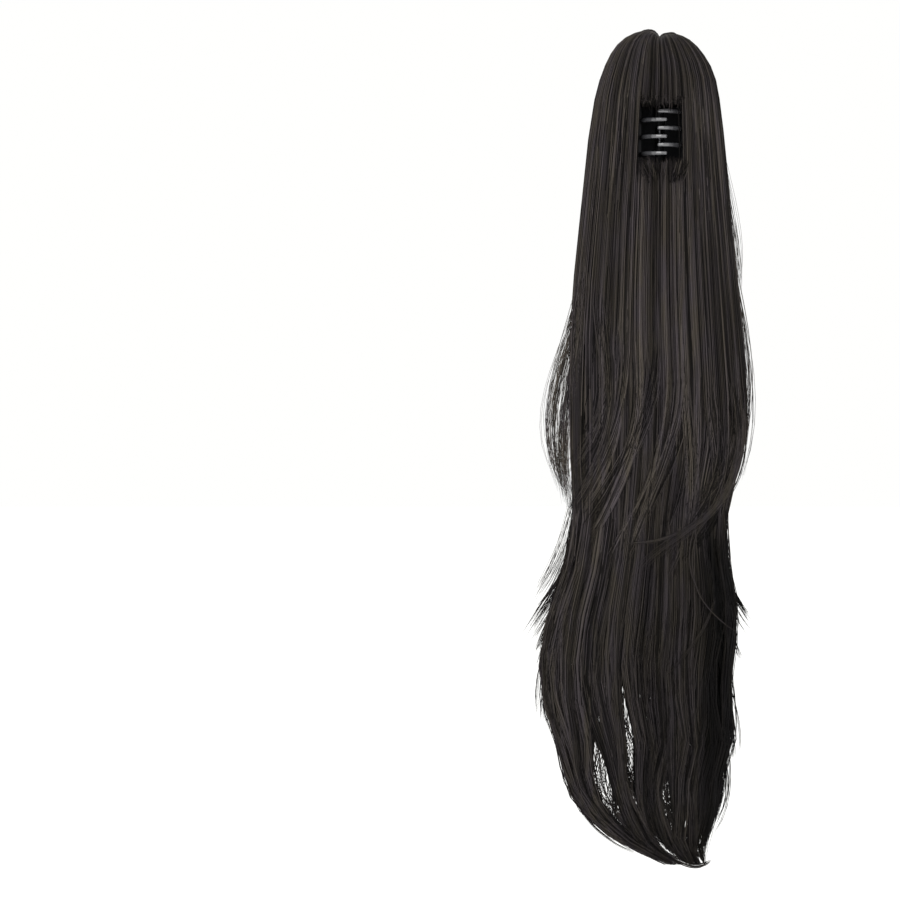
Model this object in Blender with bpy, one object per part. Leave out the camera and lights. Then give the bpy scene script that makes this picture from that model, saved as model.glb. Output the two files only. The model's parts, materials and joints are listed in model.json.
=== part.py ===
"""Clip-on ponytail hairpiece: a claw clip of two toothed jaws, a sewn weft cap, and five bundles of hair.

Metres, +Z up. The origin is the centre of the space that the closed jaws grip. The claw faces -Y, the outer
side of the hair faces +Y, and the hair hangs down along -Z.
"""

import math
from collections import namedtuple

import bmesh
import bpy
import numpy as np
from mathutils import Matrix, Vector

# Hair, as it hangs
HAIR_LENGTH = 0.610
CROWN_HEIGHT = 0.076
LEFT_SPREAD = 0.086
RIGHT_SPREAD = 0.0635
HALF_DEPTH = 0.038
CENTRE_BACK = 0.011
TIP_BACK = 0.005
OUTER_SHEET = 0.30
SQUARENESS = 2.4
RING_POINTS = 44

# The parting on top, which makes two lobes
PARTING_LEFT = 0.002
PARTING_DEPTH = 0.0065
PARTING_HALF_WIDTH = 0.005
PARTING_FADE = 0.075
LOBE_DROP = 0.0026
CROWN_TOP_WIDTH = 0.35
CROWN_TOP_DEPTH = 0.60

# Ridges between neighbouring locks, deeper towards the tips
RIDGES = 11
RIDGE_DEPTH = 0.0016
RIDGE_AT_CROWN = 0.3
RIDGE_GROWTH = 2.2
RIDGE_DRIFT = 1.7
RIDGE_WAVES = 0.7

# Locks whose ends stand clear of the fall
LOCK_HALF_WIDTH = 0.011
LOCK_FLATNESS = 0.55
LOCK_TIP_WIDTH = 0.10
LOCK_POINTS = 8
LOCK_STATIONS = 9

# Claw clip
GRIP_RADIUS = 0.0154
JAW_WALL = 0.0022
JAW_HEIGHT = 0.0410
WEB_END = 108
WEB_STEPS = 12
TEETH = 3
TOOTH_PITCH = 0.0122
TOOTH_HEIGHT = 0.0033
TOOTH_DEPTH = 0.0027
TOOTH_ROOT_SIZE = 1.12
TOOTH_END_SIZE = 0.82
TOOTH_ROOT_TURN = 14
TOOTH_OVERLAP = 0.0026
TOOTH_POINTS = 8
TOOTH_STATIONS = 9
PIN_RADIUS = 0.0012
PIN_SIDES = 14
RUNNING_GAP = 0.0003
KNUCKLE_WALL = 0.0019
KNUCKLE_LENGTH = 0.0070
KNUCKLE_GAP = 0.0004
NECK_FROM = 66
NECK_TO = 108
NECK_BITE = 0.0008
SADDLE_TO = 104
SADDLE_STEPS = 8
SPRING_WIRE = 0.0008
SPRING_TURNS = 4
SPRING_POINTS_A_TURN = 10
LEVER_TILT = 33
LEVER_REACH = 0.0195
LEVER_WALL = 0.0021
LEVER_HEIGHT = 0.0210
OPENING_ANGLE = 28
SWING_CLEARANCE = 0.0012

# Weft cap round the claw, and the mouth that the hair leaves open in front of it
CAP_WALL = 0.0018
CAP_STRAIGHT = 0.004
CAP_RIM = 0.0160
CAP_ARC_POINTS = 17
MOUTH_LEFT = 0.0155
MOUTH_RIGHT = 0.0200
MOUTH_TOP = 0.0215
MOUTH_BOTTOM = 0.0225
HAIR_GAP = 0.0003

# The whole fall of hair, one row for each level. down is a share of HAIR_LENGTH from the crown, left and
# right are shares of LEFT_SPREAD and RIGHT_SPREAD, and depth is a share of HALF_DEPTH.
Section = namedtuple("Section", "down left right depth")
FALL = [
    Section(0.001, 0.152, 0.131, 0.300),
    Section(0.006, 0.250, 0.255, 0.510),
    Section(0.013, 0.328, 0.346, 0.660),
    Section(0.029, 0.412, 0.477, 0.800),
    Section(0.046, 0.467, 0.556, 0.890),
    Section(0.063, 0.508, 0.606, 0.945),
    Section(0.096, 0.563, 0.677, 0.990),
    Section(0.146, 0.607, 0.734, 1.000),
    Section(0.213, 0.655, 0.787, 0.920),
    Section(0.262, 0.692, 0.835, 0.820),
    Section(0.313, 0.727, 0.882, 0.730),
    Section(0.364, 0.750, 0.937, 0.660),
    Section(0.413, 0.756, 0.981, 0.610),
    Section(0.464, 0.756, 0.986, 0.580),
    Section(0.513, 0.756, 0.921, 0.555),
    Section(0.548, 0.767, 0.819, 0.535),
    Section(0.580, 0.762, 0.764, 0.510),
    Section(0.613, 0.791, 0.740, 0.495),
    Section(0.648, 0.872, 0.803, 0.510),
    Section(0.680, 0.913, 0.866, 0.525),
    Section(0.715, 0.959, 0.874, 0.530),
    Section(0.748, 0.988, 0.827, 0.525),
    Section(0.780, 1.000, 0.784, 0.515),
    Section(0.813, 0.959, 0.811, 0.490),
    Section(0.848, 0.878, 0.843, 0.450),
    Section(0.880, 0.826, 0.724, 0.400),
    Section(0.912, 0.733, 0.646, 0.330),
    Section(0.936, 0.593, 0.622, 0.270),
    Section(0.961, 0.419, 0.528, 0.190),
    Section(0.980, 0.163, 0.433, 0.120),
]

# Locks whose ends stand clear of the fall, one row each. start_down and tip_down are shares of HAIR_LENGTH.
# start_side is a share of the fall's half width there, tip_side a share of the spread on that side, minus
# for left. bulge is a share of the spread by which the lock bows outwards, lean is how far its tip runs
# sideways for each length down, face places it from front, -1, to back, 1, and width is a share of
# LOCK_HALF_WIDTH.
Lock = namedtuple("Lock", "start_down start_side tip_down tip_side bulge lean face width")
LOCKS = [
    Lock(0.610, -0.74, 0.735, -1.075, 0.030, -0.70, -0.35, 0.90),
    Lock(0.660, -0.80, 0.800, -1.030, -0.020, -0.20, 0.30, 0.95),
    Lock(0.800, -0.72, 0.915, -0.800, -0.060, 0.20, -0.20, 0.90),
    Lock(0.850, -0.55, 0.950, -0.600, 0.000, 0.45, 0.30, 0.90),
    Lock(0.860, -0.25, 0.980, -0.230, -0.050, 0.50, -0.30, 1.00),
    Lock(0.880, 0.12, 1.000, 0.500, -0.080, 0.90, 0.00, 0.85),
    Lock(0.860, 0.48, 0.980, 0.460, 0.060, -0.20, 0.25, 0.90),
    Lock(0.600, 0.72, 0.718, 0.995, -0.020, 0.55, -0.30, 0.85),
    Lock(0.560, 0.68, 0.690, 0.950, -0.020, 0.30, 0.40, 0.85),
    Lock(0.760, 0.76, 0.890, 0.850, 0.060, -0.25, 0.00, 0.90),
]

HINGE_Y = GRIP_RADIUS + JAW_WALL / 2
KNUCKLE_RADIUS = PIN_RADIUS + RUNNING_GAP + KNUCKLE_WALL
SADDLE_RADIUS = KNUCKLE_RADIUS + 2 * RUNNING_GAP
BORE_RADIUS = PIN_RADIUS + RUNNING_GAP
FAR = 1.2 * HAIR_LENGTH


def clear_scene():
    for obj in list(bpy.data.objects):
        bpy.data.objects.remove(obj, do_unlink=True)


def new_collection(name):
    made = bpy.data.collections.new(name)
    bpy.context.scene.collection.children.link(made)
    return made


def finish_material(name, colour, roughness, metallic=0.0):
    made = bpy.data.materials.new(name)
    made.use_nodes = True
    shader = made.node_tree.nodes["Principled BSDF"]
    shader.inputs["Base Color"].default_value = (*colour, 1.0)
    shader.inputs["Roughness"].default_value = roughness
    shader.inputs["Metallic"].default_value = metallic
    return made


def put(obj, collection):
    for holder in list(obj.users_collection):
        holder.objects.unlink(obj)
    collection.objects.link(obj)
    return obj


def object_from(bm, name, collection):
    bmesh.ops.recalc_face_normals(bm, faces=bm.faces)
    mesh = bpy.data.meshes.new(name)
    bm.to_mesh(mesh)
    bm.free()
    return put(bpy.data.objects.new(name, mesh), collection)


def lofted(name, rings, collection):
    """A closed solid through rings of equally many points, with a flat cap at each end."""
    bm = bmesh.new()
    loops = [[bm.verts.new(point) for point in ring] for ring in rings]
    for upper, lower in zip(loops, loops[1:]):
        for i in range(len(upper)):
            j = (i + 1) % len(upper)
            bm.faces.new((upper[i], upper[j], lower[j], lower[i]))
    bm.faces.new(loops[0])
    bm.faces.new(loops[-1])
    return object_from(bm, name, collection)


def flat_solid(name, outline, low, high, collection):
    """A flat outline in X and Y, from height low to height high, as a filled 2D curve made a mesh."""
    curve = bpy.data.curves.new(name, "CURVE")
    curve.dimensions = "2D"
    curve.fill_mode = "BOTH"
    curve.extrude = (high - low) / 2
    spline = curve.splines.new("POLY")
    spline.points.add(len(outline) - 1)
    for point, (x, y) in zip(spline.points, outline):
        point.co = (x, y, 0, 1)
    spline.use_cyclic_u = True
    shape = put(bpy.data.objects.new(name + "_outline", curve), collection)
    shape.location.z = (low + high) / 2
    return solid_of_curve(shape, name, collection)


def solid_of_curve(shape, name, collection):
    """The curve as a mesh whose caps are welded to its sides."""
    bpy.context.view_layer.update()
    graph = bpy.context.evaluated_depsgraph_get()
    mesh = bpy.data.meshes.new_from_object(shape.evaluated_get(graph))
    mesh.transform(shape.matrix_world)
    bm = bmesh.new()
    bm.from_mesh(mesh)
    bmesh.ops.remove_doubles(bm, verts=bm.verts, dist=1e-6)
    bpy.data.objects.remove(shape)
    return object_from(bm, name, collection)


def cylinder(name, radius, low, high, centre, sides, collection):
    bm = bmesh.new()
    place = Matrix.Translation((*centre, (low + high) / 2))
    bmesh.ops.create_cone(
        bm, cap_ends=True, segments=sides, radius1=radius, radius2=radius, depth=high - low, matrix=place
    )
    return object_from(bm, name, collection)


def use_boolean(obj, other, operation):
    step = obj.modifiers.new(operation.lower() + "_" + other.name, "BOOLEAN")
    step.operation = operation
    step.solver = "EXACT"
    step.use_self = operation == "INTERSECT"
    step.object = other


def applied(obj, name, collection):
    """A new object with the mesh that obj has after its modifiers."""
    bpy.context.view_layer.update()
    graph = bpy.context.evaluated_depsgraph_get()
    mesh = bpy.data.meshes.new_from_object(obj.evaluated_get(graph))
    mesh.name = name
    return put(bpy.data.objects.new(name, mesh), collection)


# Claw clip: each jaw is one moulding, and the two are the same part turned round


def ring_point(radius, turn):
    """A point of the ring that the closed jaws make, turn degrees from the hinge towards +X."""
    angle = math.radians(turn)
    return radius * math.sin(angle), radius * math.cos(angle)


def ring_band(turn_from, turn_to, steps):
    turns = np.linspace(turn_from, turn_to, steps)
    outer = [ring_point(HINGE_Y + JAW_WALL / 2, turn) for turn in turns]
    inner = [ring_point(HINGE_Y - JAW_WALL / 2, turn) for turn in reversed(turns)]
    return outer + inner


def hinge_band(radius_in, radius_out, tilt_from, tilt_to, steps):
    """A band round the hinge, tilts in degrees from straight back towards +X."""
    tilts = np.radians(np.linspace(tilt_from, tilt_to, steps))
    outer = [(radius_out * math.sin(a), HINGE_Y + radius_out * math.cos(a)) for a in tilts]
    inner = [(radius_in * math.sin(a), HINGE_Y + radius_in * math.cos(a)) for a in reversed(tilts)]
    return outer + inner


def own_knuckles():
    """The height ranges of the right jaw's two knuckles. The left jaw's are the same, upside down."""
    step = KNUCKLE_LENGTH + KNUCKLE_GAP
    top = JAW_HEIGHT / 2 - RUNNING_GAP
    return [(top - KNUCKLE_LENGTH, top), (-top + step, -top + step + KNUCKLE_LENGTH)]


def web_start():
    """Degrees from the hinge at which the jaw's wall clears the other jaw's knuckles."""
    return math.degrees(2 * math.asin((SADDLE_RADIUS + JAW_WALL / 2) / (2 * HINGE_Y)))


def tooth_heights():
    middle = (TEETH - 1) / 2
    return [(middle - i) * TOOTH_PITCH + TOOTH_PITCH / 4 for i in range(TEETH)]


# The two sections past a tooth's last station, which round its tip: degrees past it, and size
ToothTip = namedtuple("ToothTip", "turn size")
TOOTH_TIP = [ToothTip(2.2, 0.62), ToothTip(3.2, 0.28)]


def tooth(name, height, collection):
    """A prong that follows the ring past the middle and ends in a round tip."""
    last = 180 + math.degrees(math.asin(TOOTH_OVERLAP / HINGE_Y))
    turns = np.linspace(WEB_END - TOOTH_ROOT_TURN, last, TOOTH_STATIONS)
    sizes = np.linspace(TOOTH_ROOT_SIZE, TOOTH_END_SIZE, TOOTH_STATIONS)
    stations = list(zip(turns, sizes))
    stations += [(last + tip.turn, tip.size) for tip in TOOTH_TIP]
    rings = []
    for turn, size in stations:
        ring = []
        for i in range(TOOTH_POINTS):
            a = 2 * math.pi * i / TOOTH_POINTS
            x, y = ring_point(HINGE_Y + size * TOOTH_DEPTH / 2 * math.cos(a), turn)
            ring.append((x, y, height + size * TOOTH_HEIGHT / 2 * math.sin(a)))
        rings.append(ring)
    return lofted(name, rings, collection)


def lever_outline():
    """The thumb lever seen from above. Its inner face points at the hinge, so the two levers can close up."""
    tilt = math.radians(LEVER_TILT)
    along = Vector((math.sin(tilt), math.cos(tilt)))
    across = Vector((math.cos(tilt), -math.sin(tilt)))
    hinge = Vector((0, HINGE_Y))
    root = hinge + along * SADDLE_RADIUS
    end = hinge + along * LEVER_REACH
    flare = across * LEVER_WALL
    return [root, end, end + flare, root + flare - along * LEVER_WALL / 2]


def right_jaw(collection, cutters):
    half = JAW_HEIGHT / 2
    jaw = flat_solid("jaw_web", ring_band(web_start(), WEB_END, WEB_STEPS), -half, half, cutters)
    saddle_out = SADDLE_RADIUS + LEVER_WALL
    saddle = hinge_band(SADDLE_RADIUS, saddle_out, LEVER_TILT, SADDLE_TO, SADDLE_STEPS)
    joined = [
        flat_solid("jaw_saddle", saddle, -LEVER_HEIGHT / 2, LEVER_HEIGHT / 2, cutters),
        flat_solid("jaw_lever", lever_outline(), -LEVER_HEIGHT / 2, LEVER_HEIGHT / 2, cutters),
    ]
    neck = hinge_band(BORE_RADIUS + KNUCKLE_WALL / 2, saddle_out + NECK_BITE, NECK_FROM, NECK_TO, 2)
    for i, (low, high) in enumerate(own_knuckles()):
        centre = (0, HINGE_Y)
        joined.append(cylinder(f"jaw_knuckle_{i}", KNUCKLE_RADIUS, low, high, centre, PIN_SIDES, cutters))
        joined.append(flat_solid(f"jaw_neck_{i}", neck, low, high, cutters))
    for i, height in enumerate(tooth_heights()):
        joined.append(tooth(f"jaw_tooth_{i}", height, cutters))
    for piece in joined:
        use_boolean(jaw, piece, "UNION")
    bore = cylinder("jaw_bore", BORE_RADIUS, -JAW_HEIGHT, JAW_HEIGHT, (0, HINGE_Y), PIN_SIDES, cutters)
    use_boolean(jaw, bore, "DIFFERENCE")
    made = applied(jaw, "jaw_right", collection)
    made.data.transform(Matrix.Translation((0, -HINGE_Y, 0)))
    made.location = (0, HINGE_Y, 0)
    return made


def left_jaw(right, collection):
    """The same moulding, turned half round about the line that runs from front to back."""
    made = put(bpy.data.objects.new("jaw_left", right.data), collection)
    made.location = right.location
    made.rotation_euler = (0, math.pi, 0)
    return made


def hinge_spring(collection):
    """A coil round the pin between the knuckles, which holds the jaws shut."""
    free = JAW_HEIGHT / 2 - 2 * KNUCKLE_LENGTH - 2 * KNUCKLE_GAP
    coil_radius = BORE_RADIUS + SPRING_WIRE / 2
    reach = free - SPRING_WIRE
    curve = bpy.data.curves.new("hinge_spring", "CURVE")
    curve.dimensions = "3D"
    curve.bevel_depth = SPRING_WIRE / 2
    curve.bevel_resolution = 2
    curve.use_fill_caps = True
    spline = curve.splines.new("POLY")
    count = SPRING_TURNS * SPRING_POINTS_A_TURN + 1
    spline.points.add(count - 1)
    for i, point in enumerate(spline.points):
        angle = 2 * math.pi * i / SPRING_POINTS_A_TURN
        height = -reach + 2 * reach * i / (count - 1)
        point.co = (coil_radius * math.cos(angle), HINGE_Y + coil_radius * math.sin(angle), height, 1)
    return put(bpy.data.objects.new("hinge_spring", curve), collection)


# Weft cap: a sewn cup of fabric behind the jaws. The hinge pin passes through it and the hair is sewn on it


def swung(x, y, angle):
    """A point of the right jaw after the jaw has opened by angle degrees."""
    turn = math.radians(angle)
    back = y - HINGE_Y
    return x * math.cos(turn) - back * math.sin(turn), HINGE_Y + x * math.sin(turn) + back * math.cos(turn)


def jaw_swing_half_width():
    """How far sideways a jaw reaches on its way open."""
    outer = HINGE_Y + max(JAW_WALL, TOOTH_ROOT_SIZE * TOOTH_DEPTH) / 2
    reach = 0.0
    for turn in np.linspace(web_start(), 180, 60):
        x, y = ring_point(outer, turn)
        for angle in np.linspace(0, OPENING_ANGLE, 8):
            reach = max(reach, swung(x, y, angle)[0])
    return reach


CAP_HALF_WIDTH = jaw_swing_half_width() + SWING_CLEARANCE
CAP_BACK = HINGE_Y + math.hypot(LEVER_REACH, LEVER_WALL) + SWING_CLEARANCE
CAP_HALF_HEIGHT = JAW_HEIGHT / 2 + SWING_CLEARANCE
LIP_Y = -(GRIP_RADIUS + JAW_WALL + TOOTH_DEPTH / 2 + SWING_CLEARANCE)


def cap_outline(grow, front):
    """The cap seen from above: straight sides that start at front, and half an ellipse round the back."""
    width = CAP_HALF_WIDTH + grow
    depth = CAP_BACK + grow - CAP_STRAIGHT
    back = []
    for angle in np.linspace(0, math.pi, CAP_ARC_POINTS):
        back.append((width * math.cos(angle), CAP_STRAIGHT + depth * math.sin(angle)))
    return [(width, front), *back, (-width, front)]


def weft_cap(collection, cutters):
    outside = CAP_HALF_HEIGHT + CAP_WALL
    cap = flat_solid("cap_outside", cap_outline(CAP_WALL, -CAP_RIM), -outside, outside, cutters)
    hollow = flat_solid(
        "cap_hollow", cap_outline(0, -CAP_RIM - CAP_WALL), -CAP_HALF_HEIGHT, CAP_HALF_HEIGHT, cutters
    )
    eyelets = cylinder("cap_eyelets", BORE_RADIUS, -FAR, FAR, (0, HINGE_Y), PIN_SIDES, cutters)
    use_boolean(cap, hollow, "DIFFERENCE")
    use_boolean(cap, eyelets, "DIFFERENCE")
    return applied(cap, "weft_cap", collection)


def hinge_pin(collection):
    half = CAP_HALF_HEIGHT + CAP_WALL - RUNNING_GAP
    made = cylinder("hinge_pin", PIN_RADIUS, -half, half, (0, 0), PIN_SIDES, collection)
    made.location = (0, HINGE_Y, 0)
    return made


# Hair: one fall with locks at its ends, parted into the five bundles that are sewn on


def height_of(down):
    return CROWN_HEIGHT - down * HAIR_LENGTH


def fall_at(down):
    """(left edge, right edge, half depth, middle) of the fall at a level, read from the table."""
    levels = [row.down for row in FALL]
    left = -LEFT_SPREAD * np.interp(down, levels, [row.left for row in FALL])
    right = RIGHT_SPREAD * np.interp(down, levels, [row.right for row in FALL])
    depth = HALF_DEPTH * np.interp(down, levels, [row.depth for row in FALL])
    middle = CENTRE_BACK + (TIP_BACK - CENTRE_BACK) * down
    return left, right, depth, middle


def rounded(value):
    """A cosine or sine made squarer, for a section between an ellipse and a box."""
    return math.copysign(abs(value) ** (2 / SQUARENESS), value)


def parting_drop(x):
    """How far the crown sinks at x, in the parting and over the lower right lobe."""
    across = (x + PARTING_LEFT) / PARTING_HALF_WIDTH
    return PARTING_DEPTH * math.exp(-(across**2)) + LOBE_DROP / (1 + math.exp(-2 * across))


def fall_ring(down):
    left, right, depth, middle = fall_at(down)
    centre, half = (left + right) / 2, (right - left) / 2
    ring = []
    fade = max(0.0, 1 - down / PARTING_FADE)
    for i in range(RING_POINTS):
        angle = 2 * math.pi * i / RING_POINTS
        ridge = math.cos(RIDGES * angle + RIDGE_DRIFT * math.sin(2 * math.pi * RIDGE_WAVES * down))
        growth = RIDGE_AT_CROWN + RIDGE_GROWTH * down
        swell = 1 + RIDGE_DEPTH * growth * ridge / max(half, depth) * (1 - fade)
        x = centre + half * swell * rounded(math.cos(angle))
        y = middle + depth * swell * rounded(math.sin(angle))
        ring.append((x, y, height_of(down) - fade * parting_drop(x)))
    return ring


def crown_top(ring):
    """The top ring drawn in to a small one over the parting, so that the crown closes as two lobes."""
    left, right, _, middle = fall_at(0.0)
    centre = (left + right) / 2
    inner = []
    for x, y, _ in ring:
        shrunk_x = centre + (x - centre) * CROWN_TOP_WIDTH
        shrunk_y = middle + (y - middle) * CROWN_TOP_DEPTH
        inner.append((shrunk_x, shrunk_y, CROWN_HEIGHT - parting_drop(shrunk_x)))
    return inner


def hair_fall(cutters):
    rings = [fall_ring(row.down) for row in FALL]
    return lofted("hair_fall", [crown_top(rings[0])] + rings, cutters)


def lock_solid(name, lock, cutters):
    """A lock that leaves the fall and tapers to its tip, as level sections along a curve."""
    left, right, depth, middle = fall_at(lock.start_down)
    side = -left if lock.start_side < 0 else right
    spread = LEFT_SPREAD if lock.tip_side < 0 else RIGHT_SPREAD
    start = Vector((lock.start_side * side, middle + lock.face * depth, height_of(lock.start_down)))
    tip_depth = fall_at(lock.tip_down)[2]
    tip = Vector((lock.tip_side * spread, middle + lock.face * tip_depth, height_of(lock.tip_down)))
    fall = start.z - tip.z
    bow = Vector((lock.bulge * spread, 0, 0))
    leave = start + Vector((0, 0, -fall / 3)) + bow
    arrive = tip + Vector((-lock.lean * fall / 3, 0, fall / 3)) + bow
    rings = []
    for step in range(LOCK_STATIONS):
        s = step / (LOCK_STATIONS - 1)
        point = (1 - s) ** 3 * start + 3 * s * (1 - s) ** 2 * leave + 3 * s * s * (1 - s) * arrive + s**3 * tip
        body = math.sin(math.pi * (1 + 3 * s) / 4) ** 0.8
        swell = lock.width * LOCK_HALF_WIDTH * (LOCK_TIP_WIDTH + (1 - LOCK_TIP_WIDTH) * body)
        ring = []
        for i in range(LOCK_POINTS):
            a = 2 * math.pi * i / LOCK_POINTS
            offset = Vector((swell * math.cos(a), LOCK_FLATNESS * swell * math.sin(a), 0))
            ring.append(point + offset)
        rings.append(ring)
    return lofted(name, rings, cutters)


def sheet_line(down):
    """How far back the outer sheet of hair starts at a level."""
    _, _, depth, middle = fall_at(down)
    return middle + depth - OUTER_SHEET * 2 * depth


def bundle_space(name, x_low, x_high, outer, z_low, z_high, cutters):
    """The room that a bundle may fill: between two planes in X, before or behind the outer sheet's line."""
    shift = HAIR_GAP / 2 if outer else -HAIR_GAP / 2
    line = [(sheet_line(row.down) + shift, height_of(row.down)) for row in FALL]
    line = [(line[0][0], FAR), *line, (line[-1][0], -FAR)]
    if z_low is not None:
        kept = [(y, z) for y, z in line if z > z_low]
        line = [*kept, (kept[-1][0], z_low)]
    if z_high is not None:
        kept = [(y, z) for y, z in line if z < z_high]
        line = [(kept[0][0], z_high), *kept]
    end = FAR if outer else -FAR
    profile = [*line, (end, line[-1][1]), (end, line[0][1])]
    rings = [[(x, y, z) for y, z in profile] for x in (x_low, x_high)]
    return lofted(name, rings, cutters)


def hair_bundle(name, fall, space, cuts, collection):
    bundle = put(bpy.data.objects.new(name + "_whole", fall.data), space.users_collection[0])
    use_boolean(bundle, space, "INTERSECT")
    for cut in cuts:
        use_boolean(bundle, cut, "DIFFERENCE")
    return applied(bundle, name, collection)


def hair_bundles(collection, cutters):
    fall = hair_fall(cutters)
    for i, lock in enumerate(LOCKS):
        use_boolean(fall, lock_solid(f"lock_{i}", lock, cutters), "UNION")
    fall = applied(fall, "hair_fall_with_locks", cutters)
    grow = CAP_WALL + HAIR_GAP
    top = CAP_HALF_HEIGHT + grow
    cave = flat_solid("cave", cap_outline(grow, LIP_Y), -top, top, cutters)
    half = HAIR_GAP / 2
    mouth_outline = [
        (-FAR, -FAR),
        (FAR, -FAR),
        (FAR, LIP_Y + HAIR_GAP),
        (-FAR, LIP_Y + HAIR_GAP),
    ]
    mouth = flat_solid("mouth", mouth_outline, -MOUTH_BOTTOM, MOUTH_TOP, cutters)
    rows = [
        ("left_bundle", -FAR, -MOUTH_LEFT - half, False, None, None, [cave]),
        ("right_bundle", MOUTH_RIGHT + half, FAR, False, None, None, [cave]),
        ("crown_hair", -MOUTH_LEFT + half, MOUTH_RIGHT - half, False, 0.0, None, [cave, mouth]),
        ("under_fall", -MOUTH_LEFT + half, MOUTH_RIGHT - half, False, None, 0.0, [cave, mouth]),
        ("outer_fall", -FAR, FAR, True, None, None, [cave]),
    ]
    made = []
    for name, x_low, x_high, outer, z_low, z_high, cuts in rows:
        space = bundle_space(name + "_space", x_low, x_high, outer, z_low, z_high, cutters)
        made.append(hair_bundle(name, fall, space, cuts, collection))
    return made


def paint(objects, made):
    for obj in objects:
        obj.data.materials.clear()
        obj.data.materials.append(made)


def main():
    clear_scene()
    hairpiece = new_collection("ponytail_hairpiece")
    cutters = new_collection("cutters")
    right = right_jaw(hairpiece, cutters)
    left = left_jaw(right, hairpiece)
    pin = hinge_pin(hairpiece)
    spring = hinge_spring(hairpiece)
    cap = weft_cap(hairpiece, cutters)
    hair = hair_bundles(hairpiece, cutters)
    paint([right, left], finish_material("black_claw_plastic", (0.012, 0.012, 0.013), 0.22))
    paint([pin, spring], finish_material("spring_steel", (0.45, 0.45, 0.46), 0.35, 1.0))
    paint([cap], finish_material("black_weft_cloth", (0.010, 0.009, 0.009), 0.95))
    paint(hair, finish_material("dark_brown_hair", (0.028, 0.024, 0.022), 0.42))
    for obj in [pin, right]:
        obj.data.shade_smooth()
        obj.data.set_sharp_from_angle(angle=math.radians(35))
    for obj in hair:
        obj.data.shade_smooth()
        obj.data.set_sharp_from_angle(angle=math.radians(50))
    for helper in cutters.objects:
        helper.hide_render = True
        helper.display_type = "WIRE"
    cutters.hide_render = True


main()
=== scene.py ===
import json
import math
from collections import namedtuple

import bmesh
import bpy
import numpy as np
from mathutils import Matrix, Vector

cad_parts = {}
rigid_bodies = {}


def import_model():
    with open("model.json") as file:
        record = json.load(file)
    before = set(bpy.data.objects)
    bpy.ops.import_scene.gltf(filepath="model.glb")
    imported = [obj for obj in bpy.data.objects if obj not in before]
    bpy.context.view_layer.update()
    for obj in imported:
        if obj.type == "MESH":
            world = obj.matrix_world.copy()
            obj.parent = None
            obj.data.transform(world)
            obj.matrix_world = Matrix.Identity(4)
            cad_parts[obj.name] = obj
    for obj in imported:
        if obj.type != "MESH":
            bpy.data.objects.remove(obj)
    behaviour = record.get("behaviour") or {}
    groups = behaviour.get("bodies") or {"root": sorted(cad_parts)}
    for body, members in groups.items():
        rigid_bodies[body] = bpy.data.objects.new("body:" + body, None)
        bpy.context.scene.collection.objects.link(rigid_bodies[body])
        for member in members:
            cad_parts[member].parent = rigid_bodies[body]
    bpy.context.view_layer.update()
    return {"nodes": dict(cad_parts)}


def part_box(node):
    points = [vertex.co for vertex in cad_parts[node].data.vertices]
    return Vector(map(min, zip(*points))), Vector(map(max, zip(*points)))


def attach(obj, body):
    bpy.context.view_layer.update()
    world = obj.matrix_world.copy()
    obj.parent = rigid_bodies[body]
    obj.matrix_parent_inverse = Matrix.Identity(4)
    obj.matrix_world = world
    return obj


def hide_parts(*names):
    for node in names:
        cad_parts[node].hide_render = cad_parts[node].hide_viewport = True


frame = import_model()


# Claw clip: two toothed jaws of black injection-moulded plastic, polished by the mould.
# They turn on the pin between them, and their teeth pass between each other.
def new_material(name):
    material = bpy.data.materials.new(name)
    material.use_nodes = True
    tree = material.node_tree
    shader = tree.nodes["Principled BSDF"]
    return material, tree, shader


def dress(node, material):
    for slot in frame["nodes"][node].material_slots:
        slot.material = material


def noise(tree, vector, scale, detail):
    """Soft noise over the surface, from 0 to 1."""
    node = tree.nodes.new("ShaderNodeTexNoise")
    node.inputs["Scale"].default_value = scale
    node.inputs["Detail"].default_value = detail
    tree.links.new(vector, node.inputs["Vector"])
    return node.outputs["Fac"]


def ranged(tree, value, ends, onto):
    """A node that maps value from one pair of ends onto another."""
    node = tree.nodes.new("ShaderNodeMapRange")
    for name, number in zip(("From Min", "From Max", "To Min", "To Max"), (*ends, *onto)):
        node.inputs[name].default_value = number
    tree.links.new(value, node.inputs["Value"])
    return node


def bumped(tree, shader, height, strength, distance):
    """Fine relief of the surface, distance metres high."""
    node = tree.nodes.new("ShaderNodeBump")
    node.inputs["Strength"].default_value = strength
    node.inputs["Distance"].default_value = distance
    tree.links.new(height, node.inputs["Height"])
    tree.links.new(node.outputs["Normal"], shader.inputs["Normal"])


claw_plastic, tree, shader = new_material("claw_plastic")
places = tree.nodes.new("ShaderNodeTexCoord")
flow = noise(tree, places.outputs["Object"], 160.0, 3.0)
gloss = ranged(tree, flow, (0.0, 1.0), (0.28, 0.42))
tree.links.new(gloss.outputs["Result"], shader.inputs["Roughness"])
bumped(tree, shader, flow, 0.10, 0.0002)

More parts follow.
